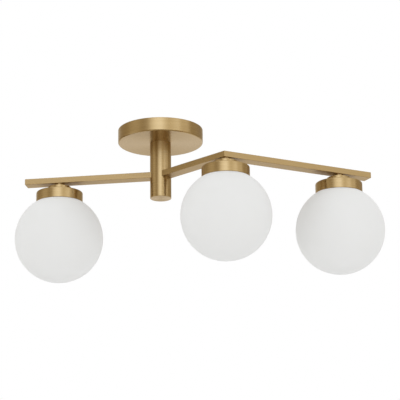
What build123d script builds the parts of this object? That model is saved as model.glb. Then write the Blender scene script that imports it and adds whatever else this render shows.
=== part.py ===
from build123d import *
import math
import os

# Semi flush ceiling light with three opal globes on a zigzag of flat brass arms.
# Sizes are in millimetres. The origin is the stem's axis on the ceiling, the light hangs along -Z,
# and the left arm lies along -X.

# Canopy, the shallow round cup against the ceiling
canopy_diameter = 116.0
canopy_depth = 18.5
canopy_wall = 1.2
canopy_edge_radius = 1.8

# Stem, from the canopy down through the arms
stem_diameter = 28.8
stem_wall = 1.6
stem_above_arms = 42.5
stem_below_arms = 28.0
stem_bush_height = 10.0
cap_thickness = 1.5
cap_spigot_length = 4.0

# Arms, flat rectangular tube laid on its wide side
arm_width = 17.4
arm_height = 8.0
arm_wall = 1.2
arm_turn = 36.0          # degrees from the X axis, down the page to the corner and up again after it
arm_insert = 2.0         # how far an arm reaches past the stem's wall
arm_overhang = 47.0      # last lamp to the arm's free end
left_lamp_reach = 141.0  # stem axis to the left lamp
corner_reach = 123.0     # stem axis to the corner and the middle lamp
right_lamp_reach = 173.5  # corner to the right lamp
plug_thickness = 1.2
plug_spigot_length = 4.0

# Cup over each globe, with the boss and spacer that hang it below the arm
spacer_diameter = 13.6
spacer_height = 4.3
boss_diameter = 31.9
boss_height = 7.7
boss_edge_radius = 0.7
cup_diameter = 63.6
cup_height = 14.3
cup_wall = 1.2
cup_edge_radius = 1.5

# Globe
globe_diameter = 120.0
globe_wall = 2.5
gasket_thickness = 2.0
gasket_width = 3.6
globe_travel = 75.0      # down, until the neck is past the lamp

# Hollow threaded nipples, nuts and washers
nipple_diameter = 10.0
nipple_bore = 7.2
nut_across_flats = 15.0
nut_height = 2.6
washer_diameter = 17.0
washer_thickness = 0.8
nipple_tail = 0.4        # thread left showing past a nut
arm_bush_height = 3.0
arm_bush_margin = 1.0    # bush to the arm's inside wall

# Lampholder and lamp with two flat pins
holder_strap_thickness = 1.0
holder_strap_width = 12.0
holder_strap_drop = 13.0
holder_diameter = 21.6
holder_height = 18.0
holder_edge_radius = 0.6
holder_drop = 1.2        # nipple's lower end to the holder
holder_screw_diameter = 2.9
holder_screw_depth = 3.0
holder_screw_down = 3.2  # holder's top to its screws
screw_head_diameter = 5.2
screw_head_height = 1.6
pin_spacing = 9.0
pin_width = 3.4
pin_thickness = 0.8
pin_length = 7.0
pin_slot_spare = 1.0
lamp_diameter = 16.0
lamp_length = 42.0
lamp_neck_length = 12.0
lamp_neck_step = 0.8
lamp_end_radius = 6.0
lamp_travel = 15.0

# Ceiling bracket
bracket_width = 22.0
bracket_thickness = 1.5
bracket_bend_radius = 2.2
bracket_tab_drop = 14.0
slot_spacing = 76.0
slot_length = 16.0
slot_width = 5.0
cable_hole_diameter = 14.0
cable_bore = 9.0
grommet_flange_width = 1.5
grommet_flange_height = 1.4
weld_nut_diameter = 8.0
weld_nut_length = 4.0
grub_diameter = 4.0
grub_socket = 2.0
grub_recess = 0.3
grub_past_tab = 1.0

# Terminal block, three poles side by side along Y
pole_pitch = 10.0
block_width = 15.0
block_height = 12.0
block_x = 19.5
block_margin = 5.0       # outer poles to the block's ends
block_edge_radius = 0.8
entry_width = 5.0
entry_height = 5.8
entry_depth = 4.5
entry_drop = 6.5         # bracket to the middle of the entries
clamp_screw_diameter = 3.2
clamp_screw_sink = 0.5
clamp_slot_width = 0.6
block_screw_diameter = 3.0

# Earth tag under its screw
earth_x = -20.0
earth_screw_diameter = 4.0
earth_head_diameter = 7.2
earth_head_height = 2.4
tag_thickness = 0.8
tag_ring_diameter = 8.4
tag_barrel_diameter = 3.8
tag_barrel_length = 6.0
tag_strip_width = 2.4
tag_strip_reach = 1.0    # strip onto the barrel

# Leads
wire_diameter = 1.5
wire_pair_offset = 1.2   # each wire of a pair from the middle of its nipple
wire_bend = 2.4          # least bend, at the lamps' nipples
wire_loose_bend = 3.5
wire_end_depth = 3.0     # wire inside its entry
wire_roof_gap = 0.25     # wire below the arm's roof
wire_level_step = 1.8
wire_bypass = 5.4        # middle of the right lamp's pair from the arm's middle line
bypass_start = 30.0
bypass_run = 25.0
bypass_bend = 12.0
corner_bend = 6.0
stem_rise = 8.0          # stem axis to where a wire turns up
bundle_radius = 2.6      # the six wires round the stem nipple's axis
gather_gap = 6.0
gather_bend = 8.0
earth_wire_diameter = 2.2
earth_first_turn = 7.0   # how far past its pole the earth lead runs from its tag
earth_slack = 12.0
earth_last_turn = 6.0
earth_bend = 8.0
earth_last_bend = 6.0

# Clearances
braze_gap = 0.05         # brazed, pressed and screwed seats, each side
hole_gap = 0.3           # through holes, each side
cut_past = 1.0           # how far a cut starts before the face that it opens
seat_gap = 0.3           # globe and lamp to what they seat on
neck_gap = 0.5           # globe's thread in the cup
pin_gap = 0.3

# Worked out from the above
canopy_radius = canopy_diameter / 2
canopy_inside = canopy_radius - canopy_wall
stem_radius = stem_diameter / 2
stem_inside = stem_radius - stem_wall
nipple_radius = nipple_diameter / 2
cup_radius = cup_diameter / 2
cup_inside = cup_radius - cup_wall
globe_radius = globe_diameter / 2
holder_radius = holder_diameter / 2
wire_radius = wire_diameter / 2
pin_slot_depth = pin_length + pin_slot_spare

canopy_under = -canopy_depth
canopy_floor = canopy_under + canopy_wall
arm_top = canopy_under - stem_above_arms
arm_bottom = arm_top - arm_height
arm_floor = arm_bottom + arm_wall
arm_roof = arm_top - arm_wall
stem_bottom = arm_bottom - stem_below_arms
boss_top = arm_bottom - spacer_height
cup_top = boss_top - boss_height
cup_ceiling = cup_top - cup_wall
cup_rim = cup_top - cup_height
shoulder = cup_rim - seat_gap
globe_centre = shoulder - math.sqrt(globe_radius ** 2 - cup_radius ** 2)
neck_radius = cup_inside - neck_gap
neck_inside = neck_radius - globe_wall
neck_top = cup_ceiling - gasket_thickness - seat_gap
lamp_washer_top = cup_ceiling - holder_strap_thickness
lamp_nut_top = lamp_washer_top - washer_thickness
lamp_nipple_bottom = lamp_nut_top - nut_height - nipple_tail
holder_top = lamp_nipple_bottom - holder_drop
holder_bottom = holder_top - holder_height
lamp_top = holder_bottom - seat_gap
arm_bush_top = arm_floor + arm_bush_height
stem_nipple_top = canopy_floor + washer_thickness + nut_height + nipple_tail
stem_nipple_bottom = canopy_under - stem_bush_height
bracket_under = -bracket_thickness
block_bottom = bracket_under - block_height
entry_z = bracket_under - entry_drop
wire_height = arm_roof - wire_radius - wire_roof_gap
poles = {"earth": -1.5 * pole_pitch, "neutral": -0.5 * pole_pitch, "live": 0.5 * pole_pitch}

TURN = math.radians(arm_turn)
corner = (corner_reach * math.cos(TURN), -corner_reach * math.sin(TURN))
right_lamp = (corner[0] + right_lamp_reach * math.cos(TURN), corner[1] + right_lamp_reach * math.sin(TURN))
lamps = {"left": (-left_lamp_reach, 0.0), "middle": corner, "right": right_lamp}

# Each wire: its lamp, its side of the pair, its place round the stem nipple in degrees, and its pole
wire_headings = {"left": 0.0, "middle": 180.0 - arm_turn, "right": 180.0 + arm_turn}
wire_levels = {"left": 1, "middle": -1, "right": 0}
wire_routes = [("left", 1, 150, "live"), ("left", -1, 210, "neutral"),
               ("middle", -1, 90, "live"), ("middle", 1, 30, "neutral"),
               ("right", -1, 330, "live"), ("right", 1, 270, "neutral")]


def rod(radius, bottom, top, x=0.0, y=0.0):
    """Upright cylinder between two heights."""
    return Pos(x, y, (bottom + top) / 2) * Cylinder(radius, top - bottom)


def ring(outer, inner, bottom, top, x=0.0, y=0.0):
    """Upright tube or washer between two heights."""
    return rod(outer, bottom, top, x, y) - rod(inner, bottom, top, x, y)


def block(x0, x1, y0, y1, z0, z1):
    """Box between two corners."""
    return Pos((x0 + x1) / 2, (y0 + y1) / 2, (z0 + z1) / 2) * Box(x1 - x0, y1 - y0, z1 - z0)


def side_rod(radius, x0, x1, y, z):
    """Cylinder along X between two ends."""
    return Pos((x0 + x1) / 2, y, z) * Rot(0, 90, 0) * Cylinder(radius, x1 - x0)


def hex_nut(bottom, top, hole, x=0.0, y=0.0):
    """Hexagon nut between two heights."""
    flat = RegularPolygon(nut_across_flats / 2, 6, major_radius=False)
    nut = Pos(x, y, bottom) * extrude(flat, top - bottom)
    return nut - rod(hole, bottom, top, x, y)


def low_edges(solid):
    """Edges of the lowest face."""
    return solid.faces().sort_by(Axis.Z)[0].edges()


def high_edges(solid):
    """Edges of the highest face."""
    return solid.faces().sort_by(Axis.Z)[-1].edges()


def write(name, *solids):
    """Write one node of one or more separate solids."""
    shape = solids[0] if len(solids) == 1 else Compound(children=list(solids))
    export_step(shape, f"parts/{name}.step")


# Ceiling bracket: bent steel strap with two slots on a line, a cable hole and a tab at each end
def make_bracket():
    tab_outside = canopy_inside - weld_nut_length - hole_gap
    tab_inside = tab_outside - bracket_thickness
    half = bracket_width / 2
    tab_z = canopy_under / 2
    strap = block(-tab_outside, tab_outside, -half, half, bracket_under, 0)
    for side in (-1, 1):
        ends = sorted((side * tab_inside, side * tab_outside))
        strap += block(*ends, -half, half, -bracket_tab_drop, 0)
        bend = strap.edges().filter_by(Axis.Y).filter_by_position(Axis.Z, -0.01, 0.01)
        strap = fillet(bend.filter_by_position(Axis.X, ends[0] - 0.01, ends[1] + 0.01), bracket_bend_radius)
        strap -= side_rod(grub_diameter / 2 + hole_gap, *ends, 0, tab_z)
        slot = SlotOverall(slot_length, slot_width)
        strap -= Pos(side * slot_spacing / 2, 0, bracket_under) * extrude(slot, bracket_thickness)
    strap -= rod(cable_hole_diameter / 2, bracket_under, 0)
    strap -= rod(earth_screw_diameter / 2 + braze_gap, bracket_under, 0, earth_x)
    for y in block_screw_places():
        strap -= rod(block_screw_diameter / 2 + braze_gap, bracket_under, 0, block_x, y)
    return strap


def make_grommet():
    neck = cable_hole_diameter / 2 - braze_gap
    flange = cable_hole_diameter / 2 + grommet_flange_width
    body = rod(neck, bracket_under - braze_gap, -braze_gap)
    body += rod(flange, bracket_under - braze_gap - grommet_flange_height, bracket_under - braze_gap)
    return body - rod(cable_bore / 2, bracket_under - grommet_flange_height - cut_past, 0)


# Terminal block: live, neutral and earth poles; the light's wires come in from the stem's side
def block_screw_places():
    """Midway between neighbouring poles."""
    return [(poles["earth"] + poles["neutral"]) / 2, (poles["neutral"] + poles["live"]) / 2]


def make_terminal_block():
    x0, x1 = block_x - block_width / 2, block_x + block_width / 2
    y0, y1 = poles["earth"] - block_margin, poles["live"] + block_margin
    body = block(x0, x1, y0, y1, block_bottom, bracket_under)
    body = fillet(body.edges().filter_by(Axis.X), block_edge_radius)
    for y in poles.values():
        half_w, half_h = entry_width / 2, entry_height / 2
        for ends in ((x0, x0 + entry_depth), (x1 - entry_depth, x1)):
            body -= block(*ends, y - half_w, y + half_w, entry_z - half_h, entry_z + half_h)
    for x, y in clamp_screw_places():
        body -= rod(clamp_screw_diameter / 2 + hole_gap, block_bottom, clamp_screw_top(), x, y)
    for y in block_screw_places():
        body -= rod(block_screw_diameter / 2 + braze_gap, block_bottom, bracket_under, block_x, y)
        body -= rod(screw_head_diameter / 2 + hole_gap, block_bottom, block_screw_seat(), block_x, y)
    return body


def clamp_screw_places():
    reach = block_width / 2 - entry_depth / 2
    return [(x, y) for x in (block_x - reach, block_x + reach) for y in poles.values()]


def clamp_screw_top():
    return entry_z - entry_height / 2


def block_screw_seat():
    return block_bottom + screw_head_height + hole_gap


def make_clamp_screws():
    screws = []
    for x, y in clamp_screw_places():
        low = block_bottom + clamp_screw_sink
        screw = rod(clamp_screw_diameter / 2, low, clamp_screw_top(), x, y)
        half = clamp_slot_width / 2
        radius = clamp_screw_diameter / 2
        screws.append(screw - block(x - radius, x + radius, y - half, y + half, low, low + clamp_slot_width))
    return screws


def make_block_screws():
    screws = []
    for y in block_screw_places():
        seat = block_screw_seat()
        screw = rod(screw_head_diameter / 2, seat - screw_head_height, seat, block_x, y)
        screws.append(screw + rod(block_screw_diameter / 2, seat, -hole_gap, block_x, y))
    return screws


# Earth: a ring tag held by its screw under the bracket
def barrel_height():
    return bracket_under - tag_barrel_diameter / 2 - hole_gap


def make_earth_screw():
    seat = bracket_under - tag_thickness
    screw = rod(earth_head_diameter / 2, seat - earth_head_height, seat, earth_x)
    return screw + rod(earth_screw_diameter / 2, seat, -hole_gap, earth_x)


def make_earth_tag():
    low = bracket_under - tag_thickness
    ring_radius = tag_ring_diameter / 2
    tag = rod(ring_radius, low, bracket_under, earth_x)
    start = -earth_head_diameter / 2 - hole_gap
    barrel = Pos(earth_x, start - tag_barrel_length / 2, barrel_height()) * Rot(90, 0, 0)
    half = tag_strip_width / 2
    tag += block(earth_x - half, earth_x + half, start - tag_strip_reach, 0, low, bracket_under)
    tag += barrel * Cylinder(tag_barrel_diameter / 2, tag_barrel_length)
    tag -= rod(earth_screw_diameter / 2 + braze_gap, low, bracket_under, earth_x)
    return tag - barrel * Cylinder(earth_wire_diameter / 2 + braze_gap, tag_barrel_length)


# Canopy: pressed cup with a nipple hole in the middle and a grub screw hole at each side
def make_canopy():
    cup = fillet(low_edges(rod(canopy_radius, canopy_under, 0)), canopy_edge_radius)
    cup -= rod(canopy_inside, canopy_floor, 0)
    cup -= rod(nipple_radius + hole_gap, canopy_under, canopy_floor)
    reach = grub_diameter / 2 + braze_gap
    return cup - side_rod(reach, -canopy_radius, canopy_radius, 0, canopy_under / 2)


def make_weld_nuts():
    nuts = []
    for side in (-1, 1):
        ends = sorted((side * (canopy_inside - weld_nut_length), side * canopy_radius))
        nut = side_rod(weld_nut_diameter / 2, *ends, 0, canopy_under / 2)
        nut -= side_rod(grub_diameter / 2 + braze_gap, *ends, 0, canopy_under / 2)
        nuts.append(nut & rod(canopy_inside - braze_gap, canopy_under, 0))
    return nuts


def make_grub_screws():
    screws = []
    tip = canopy_inside - weld_nut_length - hole_gap - bracket_thickness - grub_past_tab
    for side in (-1, 1):
        head = side * (canopy_radius - grub_recess)
        ends = sorted((side * tip, head))
        screw = side_rod(grub_diameter / 2, *ends, 0, canopy_under / 2)
        socket = Plane(origin=(head, 0, canopy_under / 2), z_dir=(-side, 0, 0))
        hexagon = RegularPolygon(grub_socket / 2, 6, major_radius=False)
        screws.append(screw - extrude(socket * hexagon, grub_socket))
    return screws


# Stem: brass tube with a threaded bush in its top, a closed end and a window for each arm
def make_stem():
    low = stem_bottom + cap_thickness
    tube = ring(stem_radius, stem_inside, low, canopy_under)
    for heading in (180.0, -arm_turn):
        window = block(0, stem_diameter, -arm_width / 2 - braze_gap, arm_width / 2 + braze_gap,
                       arm_bottom - braze_gap, arm_top + braze_gap)
        tube -= Rot(0, 0, heading) * window
    return tube


def make_stem_bush():
    return ring(stem_inside - braze_gap, nipple_radius + braze_gap, stem_nipple_bottom, canopy_under)


def make_stem_cap():
    face = stem_bottom + cap_thickness
    return rod(stem_radius, stem_bottom, face) + rod(stem_inside - braze_gap, face, face + cap_spigot_length)


# Arms
def arm_tube(start, end):
    """Straight length of the rectangular tube along +X, at the arms' height."""
    half = arm_width / 2
    outside = block(start, end, -half, half, arm_bottom, arm_top)
    return outside - block(start, end, -half + arm_wall, half - arm_wall, arm_floor, arm_roof)


def nipple_hole(lamp):
    return rod(nipple_radius + braze_gap, arm_bottom, arm_floor, *lamps[lamp])


def arm_start():
    return stem_inside - arm_insert


def make_arm_left():
    end = left_lamp_reach + arm_overhang - plug_thickness
    return Rot(0, 0, 180) * arm_tube(arm_start(), end) - nipple_hole("left")


def make_arm_inner():
    tube = Rot(0, 0, -arm_turn) * arm_tube(arm_start(), corner_reach + arm_width)
    beyond = block(corner[0], corner[0] + 2 * arm_width, corner[1] - arm_width * 2, corner[1] + arm_width * 2,
                   arm_bottom - cut_past, arm_top + cut_past)
    return tube - beyond - nipple_hole("middle")


def make_arm_outer():
    end = right_lamp_reach + arm_overhang - plug_thickness
    tube = Pos(*corner) * Rot(0, 0, arm_turn) * arm_tube(-arm_width, end)
    before = block(corner[0] - 2 * arm_width, corner[0], corner[1] - arm_width * 2, corner[1] + arm_width * 2,
                   arm_bottom - cut_past, arm_top + cut_past)
    return tube - before - nipple_hole("middle") - nipple_hole("right")


def end_plug(reach):
    """Plug whose face closes a tube that runs along +X and ends at reach."""
    half = arm_width / 2
    inside = half - arm_wall - braze_gap
    plate = block(reach - plug_thickness, reach, -half, half, arm_bottom, arm_top)
    spigot = block(reach - plug_thickness - plug_spigot_length, reach - plug_thickness, -inside, inside,
                   arm_floor + braze_gap, arm_roof - braze_gap)
    return plate + spigot


def make_plug_left():
    return Rot(0, 0, 180) * end_plug(left_lamp_reach + arm_overhang)


def make_plug_right():
    return Pos(*corner) * Rot(0, 0, arm_turn) * end_plug(right_lamp_reach + arm_overhang)


# What hangs below an arm at one lamp
def make_arm_bush(lamp):
    radius = arm_width / 2 - arm_wall - arm_bush_margin
    return ring(radius, nipple_radius + braze_gap, arm_floor, arm_bush_top, *lamps[lamp])


def make_lamp_nipple(lamp):
    return ring(nipple_radius, nipple_bore / 2, lamp_nipple_bottom, arm_bush_top, *lamps[lamp])


def make_spacer(lamp):
    return ring(spacer_diameter / 2, nipple_radius + braze_gap, boss_top, arm_bottom, *lamps[lamp])


def make_boss(lamp):
    body = fillet(high_edges(rod(boss_diameter / 2, cup_top, boss_top)), boss_edge_radius)
    return Pos(*lamps[lamp]) * (body - rod(nipple_radius + braze_gap, cup_top, boss_top))


def make_cup(lamp):
    body = fillet(high_edges(rod(cup_radius, cup_rim, cup_top)), cup_edge_radius)
    body -= rod(cup_inside, cup_rim, cup_ceiling)
    return Pos(*lamps[lamp]) * (body - rod(nipple_radius + braze_gap, cup_ceiling, cup_top))


def make_gasket(lamp):
    outer = neck_radius
    return ring(outer, outer - gasket_width, cup_ceiling - gasket_thickness, cup_ceiling, *lamps[lamp])


def make_lamp_washer(lamp):
    return ring(washer_diameter / 2, nipple_radius + braze_gap, lamp_nut_top, lamp_washer_top, *lamps[lamp])


def make_lamp_nut(lamp):
    return hex_nut(lamp_nut_top - nut_height, lamp_nut_top, nipple_radius + braze_gap, *lamps[lamp])


# Lampholder hung in a bent steel strap by two side screws
def make_holder_strap(lamp):
    inside = holder_radius + hole_gap
    outside = inside + holder_strap_thickness
    half = holder_strap_width / 2
    strap = block(-outside, outside, -half, half, lamp_washer_top, cup_ceiling)
    low = holder_top - holder_strap_drop
    for x0 in (-outside, inside):
        strap += block(x0, x0 + holder_strap_thickness, -half, half, low, cup_ceiling)
    strap -= rod(nipple_radius + braze_gap, lamp_washer_top, cup_ceiling)
    screw_hole = side_rod(holder_screw_diameter / 2 + braze_gap, -outside, outside, 0, holder_screw_height())
    return Pos(*lamps[lamp]) * (strap - screw_hole)


def holder_screw_height():
    return holder_top - holder_screw_down


def make_holder(lamp):
    body = rod(holder_radius, holder_bottom, holder_top)
    body = fillet(low_edges(body), holder_edge_radius)
    for side in (-1, 1):
        depth = sorted((side * (holder_radius - holder_screw_depth), side * holder_radius))
        body -= side_rod(holder_screw_diameter / 2 + braze_gap, *depth, 0, holder_screw_height())
        x = side * pin_spacing / 2
        wide = pin_width / 2 + pin_gap
        thick = pin_thickness / 2 + pin_gap
        body -= block(x - wide, x + wide, -thick, thick, holder_bottom, holder_bottom + pin_slot_depth)
    body = Pos(*lamps[lamp]) * body
    for side in (-1, 1):
        entry = beside(lamps[lamp], wire_headings[lamp], side * wire_pair_offset)
        body -= rod(wire_radius + hole_gap, holder_top - wire_end_depth, holder_top, *entry)
    return body


def make_holder_screws(lamp):
    screws = []
    inside = holder_radius - holder_screw_depth + hole_gap
    outside = holder_radius + hole_gap + holder_strap_thickness
    z = holder_screw_height()
    for side in (-1, 1):
        shank = side_rod(holder_screw_diameter / 2, *sorted((side * inside, side * outside)), 0, z)
        ends = sorted((side * outside, side * (outside + screw_head_height)))
        screws.append(Pos(*lamps[lamp]) * (shank + side_rod(screw_head_diameter / 2, *ends, 0, z)))
    return screws


# Lamp: a capsule with a stepped base and two flat pins
def make_lamp(lamp):
    radius = lamp_diameter / 2
    low = lamp_top - lamp_length
    step = lamp_top - lamp_neck_length
    capsule = rod(radius, low, step)
    capsule = fillet(low_edges(capsule), lamp_end_radius)
    capsule += rod(radius - lamp_neck_step, step, lamp_top)
    for side in (-1, 1):
        x = side * pin_spacing / 2
        capsule += block(x - pin_width / 2, x + pin_width / 2, -pin_thickness / 2, pin_thickness / 2,
                         lamp_top, lamp_top + pin_length)
    return Pos(*lamps[lamp]) * capsule


# Globe: one sphere of even wall with a straight neck, turned as a single outline
def make_globe(lamp):
    outer = globe_radius
    inner = globe_radius - globe_wall
    low_out = (0, globe_centre - outer)
    low_in = (0, globe_centre - inner)
    seat = (cup_radius, shoulder)
    neck_joint = (neck_inside, globe_centre + math.sqrt(inner ** 2 - neck_inside ** 2))
    outline = ThreePointArc(low_out, (outer, globe_centre), seat)
    outline += Polyline(seat, (neck_radius, shoulder), (neck_radius, neck_top), (neck_inside, neck_top),
                        neck_joint)
    outline += ThreePointArc(neck_joint, (inner, globe_centre), low_in)
    outline += Line(low_in, low_out)
    return Pos(*lamps[lamp]) * revolve(Plane.XZ * make_face(outline.edges()), Axis.Z)


# Leads: two wires to each lamp, through its nipple, along the arms, up the stem and to the block
def beside(place, heading, offset, ahead=0.0):
    """Point at an offset to the left of a heading in degrees, and some way ahead."""
    angle = math.radians(heading)
    x = place[0] + ahead * math.cos(angle) - offset * math.sin(angle)
    return (x, place[1] + ahead * math.sin(angle) + offset * math.cos(angle))


def wire(points, radii, radius):
    """Round wire along straight runs joined by arcs."""
    path = FilletPolyline(*points, radius=radii)
    tube = sweep(Plane(origin=path @ 0, z_dir=path % 0) * Circle(radius), path=path)
    share = tube.volume / (math.pi * radius ** 2 * path.length)
    print(f"wire length {path.length:.1f} mm, volume to section times length {share:.4f}")
    return tube


def level(points, z):
    return [(x, y, z) for x, y in points]


def make_wire(lamp, side, stem_place, pole):
    """One wire, from its lampholder to its pole in the terminal block."""
    offset = side * wire_pair_offset
    start = beside(lamps[lamp], wire_headings[lamp], offset)
    along = []
    bends = [wire_bend]
    if lamp == "right":
        passing = wire_bypass + offset
        along.append(beside(lamps[lamp], wire_headings[lamp], offset, bypass_start))
        along.append(beside(lamps[lamp], wire_headings[lamp], passing, bypass_start + bypass_run))
        along.append((corner[0], corner[1] - passing / math.cos(TURN)))
        bends += [bypass_bend, bypass_bend, corner_bend]
        offset = passing
    stem_heading = wire_headings["left" if lamp == "left" else "middle"]
    rise = beside((0.0, 0.0), stem_heading, offset, -stem_rise)
    slot = beside((0.0, 0.0), stem_place, 0.0, bundle_radius)
    entry_x = block_x - block_width / 2 + wire_end_depth
    height = entry_z + wire_levels[lamp] * wire_level_step
    points = level([start], holder_top - wire_end_depth)
    points += level([start, *along, rise], wire_height)
    points += level([rise], arm_top + gather_gap)
    points += level([slot], stem_nipple_bottom - gather_gap)
    points += level([slot, (entry_x, poles[pole])], height)
    bends += [wire_loose_bend, gather_bend, gather_bend, wire_loose_bend]
    return wire(points, bends, wire_radius)


def make_leads(lamp):
    return [make_wire(*route) for route in wire_routes if route[0] == lamp]


def make_earth_lead():
    z = barrel_height()
    start = -earth_head_diameter / 2 - 2 * hole_gap
    pole = poles["earth"]
    end = block_x - block_width / 2 + wire_end_depth
    points = [(earth_x, start, z), (earth_x, pole - earth_first_turn, z),
              (-earth_last_turn, pole - earth_slack, entry_z), (earth_last_turn, pole, entry_z),
              (end, pole, entry_z)]
    return wire(points, [earth_bend, earth_bend, earth_last_bend], earth_wire_diameter / 2)


os.makedirs("parts", exist_ok=True)

write("ceiling_bracket", make_bracket())
write("cable_grommet", make_grommet())
write("terminal_block", make_terminal_block())
write("terminal_clamp_screws", *make_clamp_screws())
write("terminal_block_screws", *make_block_screws())
write("earth_screw", make_earth_screw())
write("earth_tag", make_earth_tag())
write("earth_lead", make_earth_lead())

write("canopy", make_canopy())
write("canopy_weld_nuts", *make_weld_nuts())
write("canopy_grub_screws", *make_grub_screws())
write("stem_nipple", ring(nipple_radius, nipple_bore / 2, stem_nipple_bottom, stem_nipple_top))
write("stem_washer", ring(washer_diameter / 2, nipple_radius + braze_gap, canopy_floor,
                          canopy_floor + washer_thickness))
write("stem_nut", hex_nut(canopy_floor + washer_thickness, canopy_floor + washer_thickness + nut_height,
                          nipple_radius + braze_gap))
write("stem_bush", make_stem_bush())
write("stem_tube", make_stem())
write("stem_end_cap", make_stem_cap())

write("arm_left", make_arm_left())
write("arm_inner", make_arm_inner())
write("arm_outer", make_arm_outer())
write("arm_end_plug_left", make_plug_left())
write("arm_end_plug_right", make_plug_right())

write("arm_bushes", *[make_arm_bush(lamp) for lamp in lamps])
write("lamp_nipples", *[make_lamp_nipple(lamp) for lamp in lamps])
write("arm_spacers", *[make_spacer(lamp) for lamp in lamps])
write("lamp_washers", *[make_lamp_washer(lamp) for lamp in lamps])
write("lamp_nuts", *[make_lamp_nut(lamp) for lamp in lamps])
write("holder_screws", *[screw for lamp in lamps for screw in make_holder_screws(lamp)])
for lamp in lamps:
    write(f"boss_{lamp}", make_boss(lamp))
    write(f"cup_{lamp}", make_cup(lamp))
    write(f"gasket_{lamp}", make_gasket(lamp))
    write(f"holder_strap_{lamp}", make_holder_strap(lamp))
    write(f"lampholder_{lamp}", make_holder(lamp))
    write(f"lamp_{lamp}", make_lamp(lamp))
    write(f"globe_{lamp}", make_globe(lamp))
    write(f"lamp_leads_{lamp}", *make_leads(lamp))
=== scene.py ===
import math

import bmesh
import bpy
from mathutils import Matrix, Vector


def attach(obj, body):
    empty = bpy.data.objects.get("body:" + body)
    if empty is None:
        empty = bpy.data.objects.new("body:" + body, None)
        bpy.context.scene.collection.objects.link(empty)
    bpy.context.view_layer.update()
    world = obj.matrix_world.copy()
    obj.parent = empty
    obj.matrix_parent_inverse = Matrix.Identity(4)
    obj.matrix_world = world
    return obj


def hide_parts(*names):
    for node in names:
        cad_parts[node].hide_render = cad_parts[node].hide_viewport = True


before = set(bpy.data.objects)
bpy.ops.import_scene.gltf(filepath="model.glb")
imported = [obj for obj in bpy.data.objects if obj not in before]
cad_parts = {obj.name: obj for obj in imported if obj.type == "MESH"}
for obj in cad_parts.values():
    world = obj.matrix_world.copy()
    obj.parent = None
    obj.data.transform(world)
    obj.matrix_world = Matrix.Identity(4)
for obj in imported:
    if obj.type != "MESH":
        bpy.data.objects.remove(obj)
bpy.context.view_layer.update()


# ---------------------------------------------------------------- Ceiling bracket
# Strap of zinc plated steel, stamped, bent at both ends and tumbled so that its edges are soft.
# It is screwed to the ceiling through its two slots before anything else. All lengths are in mm.
MM = 0.001
TURN = 2 * math.pi
ZINC = (0.39, 0.40, 0.41, 1)
ZINC_STRAW = (0.43, 0.41, 0.36, 1)
STRAP_EDGE = 0.2
SAME_POINT = 0.002
FLAT_WITHIN = math.radians(1)
SHARP_FROM = math.radians(35)
NOISE_SPAN = (0.3, 0.7)


def node(tree, kind, feeds=None, **settings):
    """New shader node. Each feed is a socket's name or number with a value or a node's output."""
    made = tree.nodes.new(kind)
    for name, value in settings.items():
        setattr(made, name, value)
    for name, value in (feeds or {}).items():
        if isinstance(value, bpy.types.NodeSocket):
            tree.links.new(value, made.inputs[name])
        else:
            made.inputs[name].default_value = value
    return made


def new_group(name, takes, gives):
    """New node group with named inputs (name, kind, value) and outputs (name, kind)."""
    group = bpy.data.node_groups.new(name, "ShaderNodeTree")
    for label, kind, value in takes:
        socket = group.interface.new_socket(label, in_out="INPUT", socket_type="NodeSocket" + kind)
        if value is not None:
            socket.default_value = value
    for label, kind in gives:
        group.interface.new_socket(label, in_out="OUTPUT", socket_type="NodeSocket" + kind)
    return group, group.nodes.new("NodeGroupInput"), group.nodes.new("NodeGroupOutput")


def new_finish(name, slot=None, **sockets):
    """New finish, which is a material and the slot it belongs to, with its node tree and its
    shader. The shader's plain sockets are set."""
    material = bpy.data.materials.new(name)
    material.use_nodes = True
    shader = material.node_tree.nodes["Principled BSDF"]
    for label, value in sockets.items():
        label = label.replace("_", " ").title().replace("Ior", "IOR")
        shader.inputs[label].default_value = value
    return (material, slot), material.node_tree, shader


def mixed(tree, share, first, second):
    """Colour between two colours."""
    blend = node(tree, "ShaderNodeMix", data_type="RGBA")
    tree.links.new(share, blend.inputs["Factor"])
    for label, colour in (("A", first), ("B", second)):
        socket = next(s for s in blend.inputs if s.name == label and s.type == "RGBA")
        if isinstance(colour, bpy.types.NodeSocket):
            tree.links.new(colour, socket)
        else:
            socket.default_value = colour
    return next(s for s in blend.outputs if s.type == "RGBA")


def ranged(tree, value, low=0.0, high=1.0, source=(0.0, 1.0)):
    """Value moved from one range to another."""
    return node(tree, "ShaderNodeMapRange", {
        "Value": value, "From Min": source[0], "From Max": source[1],
        "To Min": low, "To Max": high}).outputs["Result"]


def surfaced(tree, shader, colour, rough, relief=None):
    """Feeds a shader's colour from (mask, first, second), its roughness from (mask, low, high)
    and its normal from (mask, depth)."""
    tree.links.new(mixed(tree, *colour), shader.inputs["Base Color"])
    tree.links.new(ranged(tree, *rough), shader.inputs["Roughness"])
    if relief:
        mask, depth = relief
        bump = node(tree, "ShaderNodeBump", {
            "Height": mask, "Distance": depth * MM, "Strength": 1.0})
        tree.links.new(bump.outputs["Normal"], shader.inputs["Normal"])


# Unevenness that every cast, moulded, plated or coated surface has: broad patches and a fine grain
unevenness, patch_in, patch_out = new_group(
    "unevenness",
    [("Place", "Vector", None), ("Patches", "Float", 60.0), ("Grain", "Float", 2500.0)],
    [("Patch", "Float"), ("Fine", "Float")])
for label, scale, detail in (("Patch", "Patches", 3.0), ("Fine", "Grain", 2.0)):
    noise = node(unevenness, "ShaderNodeTexNoise", {
        "Vector": patch_in.outputs["Place"], "Scale": patch_in.outputs[scale], "Detail": detail})
    spread = ranged(unevenness, noise.outputs["Fac"], source=NOISE_SPAN)
    unevenness.links.new(spread, patch_out.inputs[label])


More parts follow.
